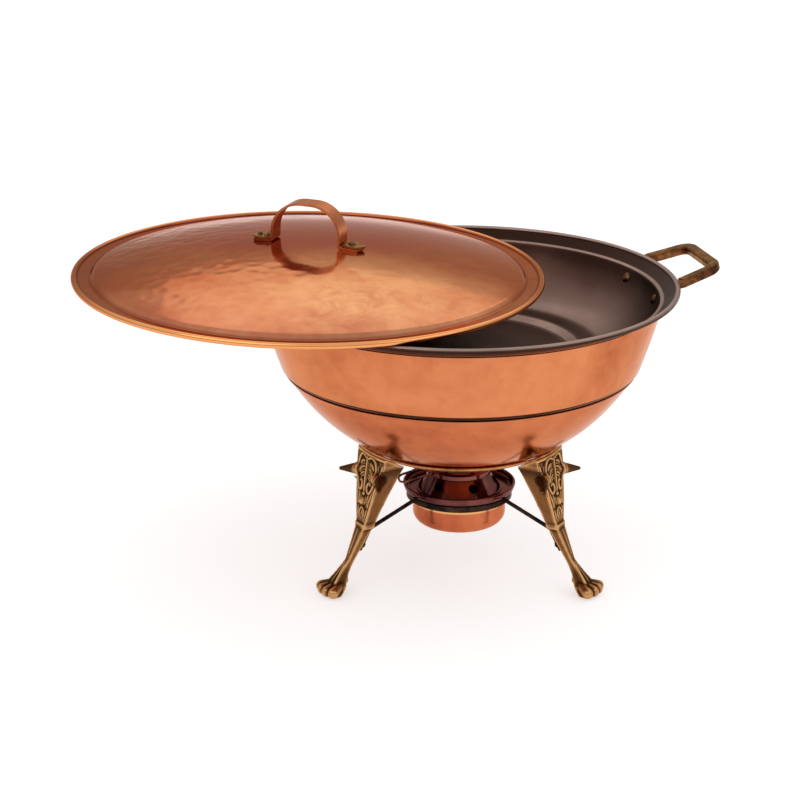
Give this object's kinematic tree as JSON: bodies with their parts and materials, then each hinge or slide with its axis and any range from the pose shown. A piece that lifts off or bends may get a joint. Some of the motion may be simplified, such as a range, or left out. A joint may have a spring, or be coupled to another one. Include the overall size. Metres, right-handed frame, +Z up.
{
  "type": "chafing dish",
  "caption": "Round copper chafing dish: food pan with loop handles in a water pan on a footed stand, loose domed lid with an arched handle, spirit burner below.",
  "frame": {"origin": "on the table, in the middle of the rear leg's sole; the upright axis of the stand and pans is 123 mm in front of it", "axes": "+Z up, +X to the right of the dish as it is looked at, +Y to its back"},
  "size_m": [0.5368, 0.39, 0.3188],
  "materials": {
    "lid_copper": "polished, lightly hammered copper",
    "band_copper": "polished copper",
    "bowl_copper": "polished copper",
    "pan_metal": "tinned and darkened, satin",
    "brass": "cast, worn polish",
    "leg_brass": "cast, dark in the hollows",
    "rivet_metal": "dark, satin",
    "dark_iron": "blackened",
    "burner_copper": "heat-darkened copper",
    "gauze": "fine wire gauze",
    "wick": "matted fibre"
  },
  "bodies": {
    "stand": {"stand_ring": "brass", "leg_front_left": "leg_brass", "leg_front_right": "leg_brass", "leg_rear": "leg_brass", "leg_screws": "rivet_metal", "burner_ring": "dark_iron", "strut_front_left": "dark_iron", "strut_front_right": "dark_iron", "strut_rear": "dark_iron", "strut_screws": "dark_iron"},
    "water_pan": {"water_pan": "bowl_copper"},
    "food_pan": {"food_pan": "pan_metal", "food_pan_jacket": "band_copper", "pan_handle_right": "brass", "pan_handle_left": "brass", "pan_handle_rivets": "rivet_metal"},
    "lid": {"lid": "lid_copper", "lid_handle": "lid_copper", "lid_handle_plate_left": "brass", "lid_handle_plate_right": "brass", "lid_handle_rivets": "rivet_metal"},
    "burner": {"burner_cup": "burner_copper", "burner_dish": "burner_copper", "burner_chimney": "burner_copper", "burner_screen": "gauze", "burner_wick": "wick"},
    "regulator": {"regulator_sleeve": "burner_copper", "regulator_handle": "dark_iron"}
  },
  "joints": [
    {"name": "water_pan_lift", "type": "slide", "parent": "stand", "child": "water_pan", "axis": [0, 0, 1], "range_m": [0, 0.09]},
    {"name": "food_pan_lift", "type": "slide", "parent": "water_pan", "child": "food_pan", "axis": [0, 0, 1], "range_m": [0, 0.09]},
    {"name": "lid_lift", "type": "slide", "parent": "food_pan", "child": "lid", "axis": [0, 0, 1], "range_m": [0, 0.15]},
    {"name": "burner_lift", "type": "slide", "parent": "stand", "child": "burner", "axis": [0, 0, 1], "range_m": [0, 0.015]},
    {"name": "regulator_turn", "type": "hinge", "parent": "burner", "child": "regulator", "pos_m": [0, -0.123, 0.083], "axis": [0, 0, 1], "range_deg": [0, 30]}
  ]
}
